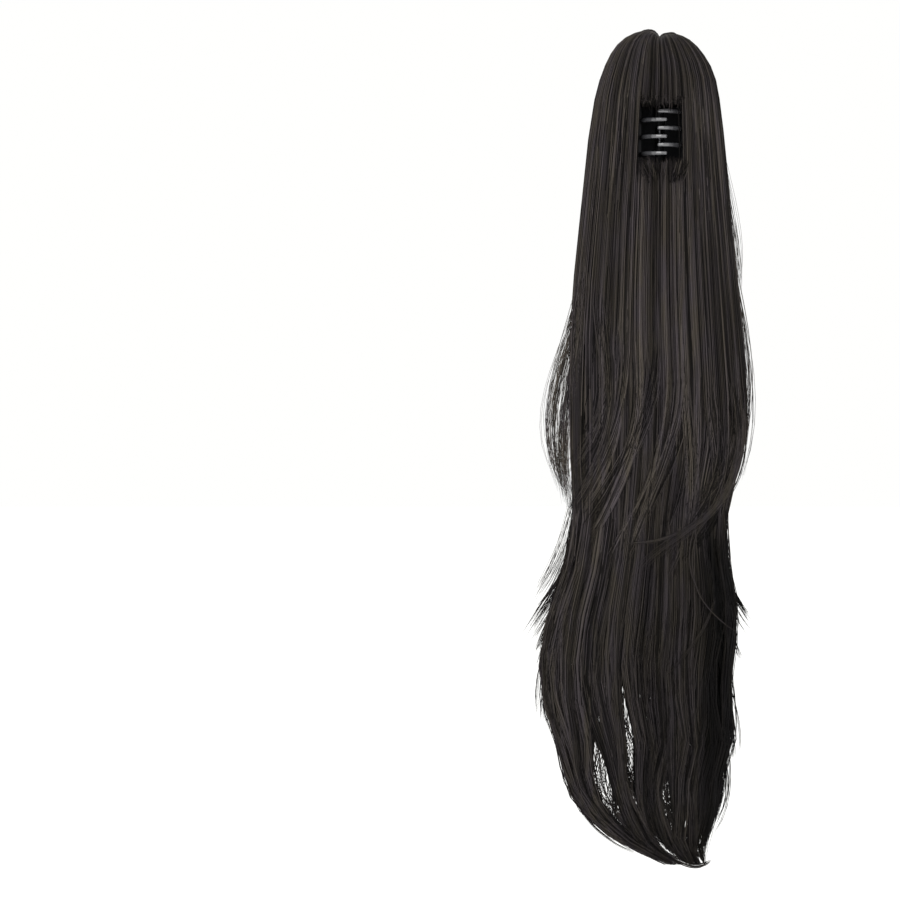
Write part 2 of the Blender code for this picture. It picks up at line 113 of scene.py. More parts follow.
# Towards the teeth the colour turns lighter and the gloss and coat rise to full: a painted highlight on the
# teeth. Behind them the plastic keeps little gloss and a near-black colour: painted shade of the claw's
# cave.
out_of_mouth = tree.nodes.new("ShaderNodeSeparateXYZ")
tree.links.new(places.outputs["Object"], out_of_mouth.inputs["Vector"])
teeth_highlight_mask = ranged(tree, out_of_mouth.outputs["Y"], (-0.009, -0.013), (0.03, 1.0))
tree.links.new(teeth_highlight_mask.outputs["Result"], shader.inputs["Specular IOR Level"])
tree.links.new(teeth_highlight_mask.outputs["Result"], shader.inputs["Coat Weight"])
shader.inputs["Coat Roughness"].default_value = 0.30
# painted highlight: the teeth's colour is lighter than the rest of the black plastic
painted_teeth_highlight = tree.nodes.new("ShaderNodeMix")
painted_teeth_highlight.data_type = "RGBA"
painted_teeth_highlight.inputs[6].default_value = (0.010, 0.010, 0.011, 1.0)
painted_teeth_highlight.inputs[7].default_value = (0.070, 0.070, 0.076, 1.0)
tree.links.new(teeth_highlight_mask.outputs["Result"], painted_teeth_highlight.inputs["Factor"])
tree.links.new(painted_teeth_highlight.outputs[2], shader.inputs["Base Color"])
for node in ("jaw_left", "jaw_right"):
    dress(node, claw_plastic)


# Hinge pin and spring: a straight steel wire through both jaws, and a coil wound round it
# between their knuckles. Both are drawn wire with faint lines along them.
spring_steel, tree, shader = new_material("spring_steel")
places = tree.nodes.new("ShaderNodeTexCoord")
drawn = noise(tree, places.outputs["Object"], 900.0, 2.0)
dull = ranged(tree, drawn, (0.0, 1.0), (0.28, 0.48))
tree.links.new(dull.outputs["Result"], shader.inputs["Roughness"])
# The steel's colour is darkened to 0.12 as painted shade: pin and spring sit in the claw's cave.
shader.inputs["Base Color"].default_value = (0.12, 0.12, 0.13, 1.0)
shader.inputs["Metallic"].default_value = 1.0
for node in ("hinge_pin", "hinge_spring"):
    dress(node, spring_steel)


# Weft cap: a cup of black woven tape behind the claw, sewn in rows.
# It holds the pin's ends, and every weft of hair is stitched to its outside.
def shade_ramp(tree, value, stops):
    """The colour at value, from stops that each hold a position and a colour."""
    node = tree.nodes.new("ShaderNodeValToRGB")
    elements = node.color_ramp.elements
    while len(elements) < len(stops):
        elements.new(0.5)
    for element, (position, colour) in zip(elements, stops):
        element.position = position
        element.color = (*colour, 1.0)
    tree.links.new(value, node.inputs["Fac"])
    return node.outputs["Color"]


weft_cloth, tree, shader = new_material("weft_cloth")
places = tree.nodes.new("ShaderNodeTexCoord")
rows = tree.nodes.new("ShaderNodeTexWave")
rows.bands_direction = "Z"
rows.inputs["Scale"].default_value = 130.0
rows.inputs["Distortion"].default_value = 1.2
tree.links.new(places.outputs["Object"], rows.inputs["Vector"])
thread = shade_ramp(tree, rows.outputs["Fac"], [(0.0, (0.012, 0.012, 0.012)), (1.0, (0.034, 0.032, 0.032))])
tree.links.new(thread, shader.inputs["Base Color"])
bumped(tree, shader, rows.outputs["Fac"], 0.6, 0.0004)
shader.inputs["Roughness"].default_value = 0.95
shader.inputs["Specular IOR Level"].default_value = 0.15
dress("weft_cap", weft_cloth)


# Packed hair: the inside of the fall, where strands lie too close to tell apart.
# It is the same fibre as the strands over it, stops well above the tips, and leaves the claw's cave open.
# Sizes are in metres. MOUTH is the opening in front of the claw: left, right, low and high.
CROWN = 0.0765
LENGTH = 0.610
PARTING_X = -0.001
PARTING_DEPTH = 0.0046
PARTING_WIDTH = 0.003
LOBE_DROP = 0.0026
MIDDLE_AT_CROWN = 0.011
MIDDLE_AT_TIP = 0.005
SQUARENESS = 2.4
MOUTH = (-0.0175, 0.0200, -0.0235, 0.0270)

# down is a share of LENGTH from the crown, and the others are millimetres
Section = namedtuple("Section", "down left right depth")
FALL = [
    Section(0.001, -13.1, 12.0, 11.4),
    Section(0.006, -21.5, 18.6, 19.4),
    Section(0.013, -28.2, 24.0, 25.1),
    Section(0.029, -35.4, 31.3, 30.4),
    Section(0.046, -40.2, 36.8, 33.8),
    Section(0.063, -43.7, 39.9, 35.9),
    Section(0.096, -48.4, 43.4, 37.6),
    Section(0.146, -52.2, 46.6, 38.0),
    Section(0.213, -56.3, 50.0, 35.0),
    Section(0.262, -59.5, 53.0, 31.2),
    Section(0.313, -62.5, 56.0, 27.7),
    Section(0.364, -64.5, 59.5, 25.1),
    Section(0.413, -65.0, 62.3, 23.2),
    Section(0.464, -64.6, 62.6, 22.0),
    Section(0.513, -64.0, 58.5, 21.1),
    Section(0.548, -63.4, 51.2, 20.3),
    Section(0.580, -62.0, 47.6, 19.4),
    Section(0.613, -63.3, 46.6, 18.8),
    Section(0.648, -70.5, 51.0, 19.4),
    Section(0.680, -77.0, 55.0, 19.9),
    Section(0.715, -83.5, 55.5, 20.1),
    Section(0.748, -85.5, 52.5, 19.9),
    Section(0.780, -85.5, 49.8, 19.6),
    Section(0.813, -82.5, 51.5, 18.6),
    Section(0.848, -75.5, 53.5, 17.1),
    Section(0.880, -71.0, 46.0, 15.2),
    Section(0.912, -65.0, 41.5, 12.5),
    Section(0.936, -55.0, 40.5, 10.3),
    Section(0.961, -39.0, 35.5, 7.2),
    Section(0.980, -21.0, 30.0, 4.6),
    Section(1.000, 8.0, 33.0, 3.0),
]
ROOTS = [row.down**0.5 for row in FALL]


def fall_at(down):
    """(centre, half width, half depth, middle) of the whole fall, for an array of levels."""
    level = np.sqrt(down)
    left = np.interp(level, ROOTS, [row.left / 1000 for row in FALL])
    right = np.interp(level, ROOTS, [row.right / 1000 for row in FALL])
    depth = np.interp(level, ROOTS, [row.depth / 1000 for row in FALL])
    middle = MIDDLE_AT_CROWN + (MIDDLE_AT_TIP - MIDDLE_AT_CROWN) * down
    return (left + right) / 2, (right - left) / 2, depth, middle


def round_off(side):
    """How much of the half depth the fall has at a share of its half width."""
    return np.clip(1 - np.abs(side) ** SQUARENESS, 0, 1) ** (1 / SQUARENESS)


def height_at(down, x):
    """Height of a level, lower in the parting and over the right lobe."""
    fade = np.clip(1 - down / 0.075, 0, 1)
    cleft = np.exp(-np.abs(x - PARTING_X) / PARTING_WIDTH)
    lobe = 1 / (1 + np.exp(-(x - PARTING_X) / (0.8 * PARTING_WIDTH)))
    return CROWN - down * LENGTH - fade * (PARTING_DEPTH * cleft + LOBE_DROP * lobe)


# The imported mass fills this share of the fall's width and depth, and thins out to nothing at its end.
# It lies a little lower than the strands over it.
CORE_SHARE = 0.80
CORE_WIDER = 0.05
CORE_END = 0.79
CORE_THINS = 0.10
CORE_LOWER = 0.010
CORE_POINTS = 48
CORE_LEVELS = np.concatenate([np.linspace(0.016, 0.20, 12), np.linspace(0.23, 0.775, 25)])

core_rings = []
for down in CORE_LEVELS:
    centre, half, depth, middle = fall_at(down)
    thin = CORE_SHARE * min(1.0, (CORE_END - down) / CORE_THINS) ** 0.7
    ring = []
    for i in range(CORE_POINTS):
        angle = 2 * math.pi * i / CORE_POINTS
        side = math.copysign(abs(math.cos(angle)) ** (2 / SQUARENESS), math.cos(angle))
        back = math.copysign(abs(math.sin(angle)) ** (2 / SQUARENESS), math.sin(angle))
        x = centre + half * (thin + CORE_WIDER) * side
        ring.append((x, middle + depth * thin * back, float(height_at(down + CORE_LOWER, x))))
    core_rings.append(ring)
bm = bmesh.new()
loops = [[bm.verts.new(point) for point in ring] for ring in core_rings]
for upper, lower in zip(loops, loops[1:]):
    for i in range(CORE_POINTS):
        j = (i + 1) % CORE_POINTS
        bm.faces.new((upper[i], upper[j], lower[j], lower[i]))
bm.faces.new(loops[0])
bm.faces.new(loops[-1])
bmesh.ops.recalc_face_normals(bm, faces=bm.faces)
mesh = bpy.data.meshes.new("packed_hair")
bm.to_mesh(mesh)
bm.free()
packed_hair = bpy.data.objects.new("packed_hair", mesh)
bpy.context.scene.collection.objects.link(packed_hair)

# The cave takes the weft cap with a little room, and runs out of the mouth.
CAVE_ROOM = 0.0004
cap_low, cap_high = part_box("weft_cap")
cuts = [
    (cap_low - Vector((CAVE_ROOM, 0.02, CAVE_ROOM)), cap_high + Vector((CAVE_ROOM, CAVE_ROOM, CAVE_ROOM))),
    (Vector((MOUTH[0], -0.08, MOUTH[2])), Vector((MOUTH[1], 0.0, MOUTH[3]))),
]
for low, high in cuts:
    bm = bmesh.new()
    bmesh.ops.create_cube(bm, size=1.0)
    for vert in bm.verts:
        vert.co = Vector([low[k] + (vert.co[k] + 0.5) * (high[k] - low[k]) for k in range(3)])
    cutter_mesh = bpy.data.meshes.new("cave_cutter")
    bm.to_mesh(cutter_mesh)
    bm.free()
    cutter = bpy.data.objects.new("cave_cutter", cutter_mesh)
    bpy.context.scene.collection.objects.link(cutter)
    step = packed_hair.modifiers.new("cave", "BOOLEAN")
    step.operation = "DIFFERENCE"
    step.solver = "EXACT"
    step.object = cutter
bpy.context.view_layer.update()
graph = bpy.context.evaluated_depsgraph_get()
mesh = bpy.data.meshes.new_from_object(packed_hair.evaluated_get(graph))
packed_hair.modifiers.clear()
packed_hair.data = mesh
for cutter in [o for o in bpy.data.objects if o.name.startswith("cave_cutter")]:
    bpy.data.objects.remove(cutter)
mesh.shade_smooth()

packed_fibre, tree, shader = new_material("packed_fibre")
places = tree.nodes.new("ShaderNodeTexCoord")
stretch = tree.nodes.new("ShaderNodeMapping")
stretch.inputs["Scale"].default_value = (1.0, 1.0, 0.03)
tree.links.new(places.outputs["Object"], stretch.inputs["Vector"])
fibres = noise(tree, stretch.outputs["Vector"], 900.0, 4.0)
# Its colours are much darker than the strands': painted shade of the fall's inside.
shades = shade_ramp(tree, fibres, [(0.35, (0.004, 0.0035, 0.0035)), (0.65, (0.020, 0.017, 0.016))])
tree.links.new(shades, shader.inputs["Base Color"])
bumped(tree, shader, fibres, 0.7, 0.0006)
shader.inputs["Roughness"].default_value = 0.6
shader.inputs["Specular IOR Level"].default_value = 0.25
mesh.materials.clear()
mesh.materials.append(packed_fibre)
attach(packed_hair, "ponytail")


# Left bundle: straight synthetic fibre, one strand for each few hairs, drawn together in locks.
# Each strand is sewn in at the parting, bends over the left lobe and hangs to the tips.
STRAND_RADIUS = 0.00028
STRAND_SIDES = 3
MAP_ROWS = 40
LONG_POINTS = 16

# Every strand tapers over these shares of its length, and WISP neighbours keep close together.
TIP_TAPER = 0.06
ROOT_TAPER = 0.08
WISP = 2

# A strand runs from the parting to the edge of the crown in CROWN_STEPS, then down by CROWN_LEVELS.
CROWN_STEPS = (0.0, 0.20, 0.45, 0.70, 0.90)
CROWN_LEVELS = (0.001, 0.004, 0.009, 0.017, 0.028, 0.042, 0.060, 0.083)

# Spreads are angles round the fall. Round the claw, at this level and reach, no strand lies deep.
WISP_SPREAD = 0.040
STRAND_SPREAD = 0.008
CLAW_LEVEL = 0.125
CLAW_REACH = 0.055

# Locks draw together from GATHERED down, and sway sideways and in depth by these lengths.
GATHERED = 0.25
SWAY = 0.0045
DEEP_SWAY = 0.0015

# side is a share of the fall's half width, from the left edge, -1, to the right edge, 1. The other two
# are the levels between which the long strands there end.
Ends = namedtuple("Ends", "side first last")
LONG_ENDS = [
    Ends(-1.00, 0.975, 1.010),
    Ends(-0.60, 0.965, 1.010),
    Ends(-0.20, 0.965, 1.010),
    Ends(0.30, 0.980, 1.015),
    Ends(0.55, 0.990, 1.020),
    Ends(0.80, 0.980, 1.012),
    Ends(1.00, 0.950, 0.998),
]

# Where the locks of the tail part and light comes through, with the widest half width in millimetres
Gap = namedtuple("Gap", "side top bottom half_width")
GAPS = [
    Gap(-0.56, 0.840, 0.968, 6.2),
    Gap(-0.17, 0.765, 0.945, 3.4),
    Gap(0.27, 0.870, 0.962, 3.8),
    Gap(0.86, 0.722, 0.808, 2.4),
]


def long_ends(side, chance):
    sides = [row.side for row in LONG_ENDS]
    first = np.interp(side, sides, [row.first for row in LONG_ENDS])
    last = np.interp(side, sides, [row.last for row in LONG_ENDS])
    return first + (last - first) * chance


def around(angle):
    """(side, face) of a place on the fall's outline, for angles from the right edge through the back."""
    cosine, sine = np.cos(angle), np.sin(angle)
    side = np.sign(cosine) * np.abs(cosine) ** (2 / SQUARENESS)
    return side, np.where(sine < 0, -1.0, 1.0)


def mixed_tone(rng, lock, wisp):
    """A tone for each strand, part its lock's, part its wisp's and part its own."""
    own = rng.random(len(lock))
    return 0.25 * rng.random(lock[-1] + 1)[lock] + 0.35 * rng.random(wisp[-1] + 1)[wisp] + 0.40 * own


def locks_of(rng, count, strands, angles, shells, ends, light, start=0.0):
    """Strands in locks: a dictionary of arrays with one value for each strand."""
    lock = np.repeat(np.arange(count), strands)
    angle = angles[0] + (angles[1] - angles[0]) * ((np.arange(count) + rng.random(count)) / count)[lock]
    total = len(lock)
    wisp = np.arange(total) // WISP
    wisps = wisp[-1] + 1
    lock_side, _ = around(angle)
    side, face = around(
        angle + rng.normal(0, WISP_SPREAD, wisps)[wisp] + rng.normal(0, STRAND_SPREAD, total)
    )
    end = ends(lock_side, rng.random(count)[lock]) - np.abs(rng.normal(0, 0.014, total))
    return {
        "side": np.clip(side + rng.normal(0, 0.008, wisps)[wisp], -1, 1),
        "lock_side": lock_side,
        "face": face,
        "shell": rng.uniform(shells[0], shells[1], count)[lock] + rng.normal(0, 0.018, wisps)[wisp],
        "start": start + 0.02 * rng.random(total) * (start > 0) + np.zeros(total),
        "end": np.clip(end, 0.05, 0.998),
        "sway": rng.uniform(-1, 1, count)[lock],
        "turn": rng.uniform(0, 2 * math.pi, count)[lock],
        "tone": light + mixed_tone(rng, lock, wisp),
        "gather": rng.uniform(0.25, 0.60, count)[lock],
        "parts": rng.random(total) < 0.93,
    }


def crown_levels(strands, points):
    """Levels of every strand's points from the crown down, closest together at the crown and at the tip."""
    total = len(strands["end"])
    share = np.linspace(0, 1, points + 1)[1:] - (0.8 / points) * strands["turn"][:, None] / (2 * math.pi)
    share[:, -1] = 1.0
    share = 1 - (1 - share) ** 1.5
    rest = CROWN_LEVELS[-1] + (strands["end"][:, None] - CROWN_LEVELS[-1]) * share
    return np.concatenate([np.tile(CROWN_LEVELS, (total, 1)), rest], 1)


def hang(rng, strands, down, steer=None, crown=True):
    """The points of every strand at its levels: (strands, points, 3)."""
    total = len(strands["side"])
    along = np.clip((down - GATHERED) / (1 - GATHERED), 0, 1)
    gather = strands["gather"][:, None] * along**1.5
    side = strands["side"][:, None] * (1 - gather) + strands["lock_side"][:, None] * gather
    centre, half, depth, middle = fall_at(down)
    near_claw = np.exp(-(((down - CLAW_LEVEL) / CLAW_REACH) ** 4))
    shell = strands["shell"][:, None]
    shell = shell + (np.clip(shell, 0.90, 1.02) - shell) * near_claw
    sway = strands["sway"][:, None] * SWAY * along**1.3
    x = centre + half * shell * side + sway * np.sin(7 * down * math.pi + strands["turn"][:, None])
    x = x + rng.normal(0, 0.0004, (total, 1)) * np.sin(9 * down + 20 * rng.random((total, 1)))
    for gap in GAPS:
        opened = np.sin(math.pi * np.clip((down - gap.top) / (gap.bottom - gap.top), 0, 1))
        away = (x - centre - half * gap.side) * 1000 / gap.half_width
        push = gap.half_width / 1000 * opened * np.sign(away) * np.exp(-((away / 2.2) ** 2))
        x = x + push * strands["parts"][:, None]
    if steer is not None:
        x = steer(strands, down, x, shell)
    reach = np.clip((x - centre) / (half * shell), -1, 1)
    sunk = 1.0 if crown else 1 - 0.22 * np.exp(-(down - down[:, :1]) / 0.012)
    y = middle + strands["face"][:, None] * depth * shell * sunk * round_off(reach)
    y = y + strands["sway"][:, None] * DEEP_SWAY * along
    path = np.stack([x, y, height_at(down, x)], -1)
    if crown:
        first = path[:, :1]
        beginning = []
        for share in CROWN_STEPS:
            px = PARTING_X + share * (first[..., 0] - PARTING_X)
            py = middle[:, :1] + (0.55 + 0.45 * share) * (first[..., 1] - middle[:, :1])
            sink = (1 - strands["shell"][:, None]) * 0.012
            beginning.append(np.stack([px, py, height_at(np.zeros_like(px), px) - sink], -1))
        path = np.concatenate(beginning + [path], 1)
    return path


def strand_piece(name, path, tone, radius, material, span, fine_root=False):
    """One mesh of closed three-sided strands that taper to their tips, with a strip of map for each.

    span is the range of the shades that the piece has, from its darkest strand to its lightest.
    """
    total, points, _ = path.shape
    steps = np.linalg.norm(np.diff(path, axis=1), axis=-1)
    travelled = np.concatenate([np.zeros((total, 1)), np.cumsum(steps, 1)], 1)
    travelled /= travelled[:, -1:]
    taper = np.clip((1 - travelled) / TIP_TAPER, 0.12, 1) ** 0.6
    if fine_root:
        taper = taper * np.clip(travelled / ROOT_TAPER, 0.30, 1)
    width = np.broadcast_to(radius, total)[:, None] * taper
    along = np.gradient(path, axis=1)
    along /= np.linalg.norm(along, axis=-1, keepdims=True) + 1e-12
    out = path - np.array([0.0, MIDDLE_AT_CROWN, 0.0])
    out[..., 2] = 0.0
    across = np.cross(along, out)
    across /= np.linalg.norm(across, axis=-1, keepdims=True) + 1e-12
    up = np.cross(across, along)
    corners = []
    for k in range(STRAND_SIDES):
        angle = 2 * math.pi * k / STRAND_SIDES
        corners.append(path + width[..., None] * (math.cos(angle) * up + math.sin(angle) * across))
    co = np.stack(corners, 2).reshape(-1, 3)

    base = np.arange(total)[:, None, None] * points * STRAND_SIDES
    ring = np.arange(points - 1)[None, :, None] * STRAND_SIDES
    k = np.arange(STRAND_SIDES)[None, None, :]
    after = (k + 1) % STRAND_SIDES
    here = base + ring
    below = here + STRAND_SIDES
    quads = np.stack([here + k, below + k, below + after, here + after], -1).reshape(-1, 4)
    root = base[:, 0, :] + k[0]
    tip = base[:, 0, :] + (points - 1) * STRAND_SIDES + k[0]
    caps = np.concatenate([root, tip[:, ::-1]], 0)
    corners_of_faces = np.concatenate([quads.ravel(), caps.ravel()])
    starts = np.concatenate([np.arange(len(quads)) * 4, len(quads) * 4 + np.arange(len(caps)) * 3])

    mesh = bpy.data.meshes.new(name)
    mesh.vertices.add(len(co))
    mesh.vertices.foreach_set("co", co.ravel())
    mesh.loops.add(len(corners_of_faces))
    mesh.loops.foreach_set("vertex_index", corners_of_faces.astype(np.int32))
    mesh.polygons.add(len(starts))
    mesh.polygons.foreach_set("loop_start", starts.astype(np.int32))
    mesh.update(calc_edges=True)

    order = np.empty(total, int)
    order[np.argsort(tone)] = np.arange(total)
    columns = math.ceil(total / MAP_ROWS)
    column, row = order // MAP_ROWS, order % MAP_ROWS
    u_of = np.array([0.2, 0.4, 0.6, 0.8])
    face_u = np.stack([u_of[:3], u_of[:3], u_of[1:], u_of[1:]], -1)[None, None]
    strip_u = (column[:, None, None, None] + face_u) / columns
    v_of = np.linspace(0.04, 0.96, points)
    strip_v = np.stack([v_of[:-1], v_of[1:], v_of[1:], v_of[:-1]], -1)[None, :, None, :]
    strip_v = (row[:, None, None, None] + strip_v) / MAP_ROWS
    strip_u = np.broadcast_to(strip_u, (total, points - 1, STRAND_SIDES, 4))
    strip_v = np.broadcast_to(strip_v, (total, points - 1, STRAND_SIDES, 4))
    sides = np.stack([strip_u, strip_v], -1).reshape(-1, 2)
    cap_u = (column[:, None] + u_of[None, :3]) / columns
    cap_parts = []
    for share in (0.02, 0.98):
        cap_v = (row[:, None] + share + np.array([[0.0, 0.005, 0.0]])) / MAP_ROWS
        cap_parts.append(np.stack([cap_u, cap_v], -1).reshape(-1, 2))
    uv = np.concatenate([sides] + cap_parts)
    shaded = uv * np.array([span[1] - span[0], 1.0]) + np.array([span[0], 0.0])
    for layer_name, places in (("strand_map", shaded), ("OFBake", uv)):
        layer = mesh.uv_layers.new(name=layer_name)
        layer.uv.foreach_set("vector", places.ravel())
    mesh.shade_smooth()
    mesh.materials.append(material)
    piece = bpy.data.objects.new(name, mesh)
    bpy.context.scene.collection.objects.link(piece)
    return piece


# stops run from the darkest strands to the lightest
Shade = namedtuple("Shade", "share red green blue")
SHADES = [
    Shade(0.00, 0.0018, 0.0017, 0.0017),
    Shade(0.30, 0.0112, 0.0103, 0.0101),
    Shade(0.55, 0.0335, 0.0310, 0.0303),
    Shade(0.80, 0.0635, 0.0590, 0.0576),
    Shade(1.00, 0.1080, 0.1000, 0.0980),
]


def multiplied(tree, colour, by, factor):
    """The product of two colours. Sockets 6 and 7 of a colour mix take them, and output 2 gives it."""
    node = tree.nodes.new("ShaderNodeMix")
    node.data_type = "RGBA"
    node.blend_type = "MULTIPLY"
    node.inputs["Factor"].default_value = factor
    tree.links.new(colour, node.inputs[6])
    tree.links.new(by, node.inputs[7])
    return node.outputs[2]


def product(tree, first, second):
    node = tree.nodes.new("ShaderNodeMath")
    node.operation = "MULTIPLY"
    tree.links.new(first, node.inputs[0])
    tree.links.new(second, node.inputs[1])
    return node.outputs["Value"]


hair_fibre, tree, shader = new_material("hair_fibre")
strand_map = tree.nodes.new("ShaderNodeUVMap")
strand_map.uv_map = "strand_map"
map_place = tree.nodes.new("ShaderNodeSeparateXYZ")
tree.links.new(strand_map.outputs["UV"], map_place.inputs["Vector"])
stops = [(row.share, (row.red, row.green, row.blue)) for row in SHADES]
shades = shade_ramp(tree, map_place.outputs["X"], stops)

# Some stretches of the strands are a little warmer and some a little cooler.
places = tree.nodes.new("ShaderNodeTexCoord")
stretch = tree.nodes.new("ShaderNodeMapping")
stretch.inputs["Scale"].default_value = (1.0, 1.0, 0.12)
tree.links.new(places.outputs["Object"], stretch.inputs["Vector"])
cast = noise(tree, stretch.outputs["Vector"], 170.0, 2.0)
tints = shade_ramp(tree, cast, [(0.36, (1.05, 0.95, 0.78)), (0.64, (1.00, 0.91, 1.02))])
tinted = multiplied(tree, shades, tints, 0.85)

# The tail is darker. The hair of the claw's side below the crossing lock, at the right, is darkened as a
# painted shadow of that lock.
place = tree.nodes.new("ShaderNodeSeparateXYZ")
tree.links.new(places.outputs["Object"], place.inputs["Vector"])
tail = ranged(tree, place.outputs["Z"], (-0.52, -0.20), (0.48, 1.0))
darker = multiplied(tree, tinted, tail.outputs["Result"], 1.0)
right_side = ranged(tree, place.outputs["X"], (0.020, 0.034), (0.0, 1.0))
below_lock = ranged(tree, place.outputs["Z"], (-0.262, -0.300), (0.0, 1.0))
claw_side = ranged(tree, place.outputs["Y"], (0.016, 0.002), (0.0, 1.0))
lock_shadow_mask = product(tree, right_side.outputs["Result"], below_lock.outputs["Result"])
lock_shadow_mask = product(tree, lock_shadow_mask, claw_side.outputs["Result"])
# painted shadow of the crossing lock: the colour there falls to 0.18 of its own
painted_lock_shadow = ranged(tree, lock_shadow_mask, (0.0, 1.0), (1.0, 0.18))
lock_shadowed_colour = multiplied(tree, darker, painted_lock_shadow.outputs["Result"], 1.0)
tree.links.new(lock_shadowed_colour, shader.inputs["Base Color"])
sheen = ranged(tree, cast, (0.0, 1.0), (0.36, 0.56))
tree.links.new(sheen.outputs["Result"], shader.inputs["Roughness"])
shader.inputs["Specular IOR Level"].default_value = 0.08

# A shell holds locks at one depth in the fall, between inner and outer as shares of its full size.
Shell = namedtuple("Shell", "locks strands inner outer light")


def long_strands(name, rng, angles, shells, span):
    """Strands in locks that run from the parting to the tips."""
    paths, tones = [], []
    for row in shells:
        depths = (row.inner, row.outer)
        locks = locks_of(rng, row.locks, row.strands, angles, depths, long_ends, row.light)
        paths.append(hang(rng, locks, crown_levels(locks, LONG_POINTS)))
        tones.append(locks["tone"])
    return strand_piece(name, np.concatenate(paths), np.concatenate(tones), STRAND_RADIUS, hair_fibre, span)


left_bundle = long_strands(
    "left_bundle_strands",
    np.random.default_rng(11),
    (math.pi - 0.15, math.pi + 1.24),
    [Shell(40, 15, 0.94, 1.00, 0.2), Shell(26, 18, 0.80, 0.93, 0.0)],
    (0.0, 0.95),
)
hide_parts("left_bundle")
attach(left_bundle, "ponytail")


# Right bundle: the same fibre on the other side of the claw, sewn in and drawn together in the same way.
# Its outermost strands end a little above the tips.
right_bundle = long_strands(
    "right_bundle_strands",
    np.random.default_rng(23),
    (2 * math.pi - 1.24, 2 * math.pi + 0.15),
    [Shell(36, 15, 0.94, 1.00, 0.2), Shell(23, 18, 0.80, 0.93, 0.0)],
    (0.0, 0.90),
)
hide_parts("right_bundle")
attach(right_bundle, "ponytail")


# Crown hair: short fibre between the lobes, from the parting down to the claw's upper edge.
# It is cut off in an uneven fringe over the mouth.
CROWN_HAIR_POINTS = 4
CROWN_LOCKS = 44
CROWN_LOCK_STRANDS = 14

crown_rng = np.random.default_rng(31)
between_lobes = (math.pi + 1.24, 2 * math.pi - 1.20)
crown_locks = locks_of(
    crown_rng, CROWN_LOCKS, CROWN_LOCK_STRANDS, between_lobes, (0.88, 1.00), long_ends, 0.0
)
cut = np.repeat(crown_rng.uniform(0.081, 0.087, CROWN_LOCKS), CROWN_LOCK_STRANDS)
crown_locks["end"] = cut + crown_rng.exponential(0.004, len(cut))
crown_path = hang(crown_rng, crown_locks, crown_levels(crown_locks, CROWN_HAIR_POINTS))
crown_path[:, -1, :2] += crown_rng.normal(0, 0.0013, (len(crown_path), 2))
crown_path[:, -2, :2] += crown_rng.normal(0, 0.0005, (len(crown_path), 2))
crown_hair = strand_piece(
    "crown_hair_strands", crown_path, crown_locks["tone"], STRAND_RADIUS, hair_fibre, (0.0, 0.90)
)
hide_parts("crown_hair")
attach(crown_hair, "ponytail")


# Under fall: long fibre sewn on below the claw. Its cut roots stand out as a short fuzzy
# brush at the mouth's lower edge before the strands lie flat.
UNDER_POINTS = 19
BRUSH_STRANDS = 70
BELOW_CLAW = 0.154

under_rng = np.random.default_rng(47)
under_path = []
under_tone = []
even = np.linspace(0, 1, UNDER_POINTS)
eased = 0.7 * (1 - np.cos(math.pi * even)) / 2 + 0.3 * even
for row in (Shell(30, 16, 0.93, 1.00, 0.2), Shell(20, 18, 0.80, 0.92, 0.0)):
    depths = (row.inner, row.outer)
    locks = locks_of(
        under_rng, row.locks, row.strands, between_lobes, depths, long_ends, row.light, start=BELOW_CLAW
    )
    down = locks["start"][:, None] + (locks["end"] - locks["start"])[:, None] * eased
    under_path.append(hang(under_rng, locks, down, crown=False))
    under_tone.append(locks["tone"])

# The brush's strands, in millimetres: where each is rooted, how far it reaches and how it bends.
share = even[None, :, None]
root = under_rng.uniform((-13, -26, -40), (15, -24, -30), (BRUSH_STRANDS, 3))
fan = under_rng.uniform((-2, -3, 7), (2, 0, 13), (BRUSH_STRANDS, 3))
fan[:, 0] += 0.35 * root[:, 0]
bent = under_rng.uniform((0, -1.5, 0), (0, 0, 0), (BRUSH_STRANDS, 3))
brush = root[:, None] + fan[:, None] * share + 4 * bent[:, None] * share * (1 - share)
under_path.append(brush / 1000)
under_tone.append(under_rng.uniform(0.1, 1.0, BRUSH_STRANDS))
under_fall = strand_piece(
    "under_fall_strands",
    np.concatenate(under_path),
    np.concatenate(under_tone),
    STRAND_RADIUS,
    hair_fibre,
    (0.0, 0.85),
    fine_root=True,
)
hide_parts("under_fall")
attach(under_fall, "ponytail")


# Outer fall: the smooth sheet of fibre over the whole outer side, parted at the crown.
# It covers the cap and the claw's levers.
outer_fall = long_strands(
    "outer_fall_strands",
    np.random.default_rng(59),
    (0.05, math.pi - 0.05),
    [Shell(56, 13, 0.94, 1.00, 0.2), Shell(30, 13, 0.82, 0.94, 0.0)],
    (0.0, 1.0),
)
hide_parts("outer_fall")
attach(outer_fall, "ponytail")


# Front layers: shorter locks that lie over the long ones, from the crown or from below the claw.
# Those of the middle swing out to the lower left, and those of the right turn in over the front.
LAYER_UPPER = 10
LAYER_LOWER = 11

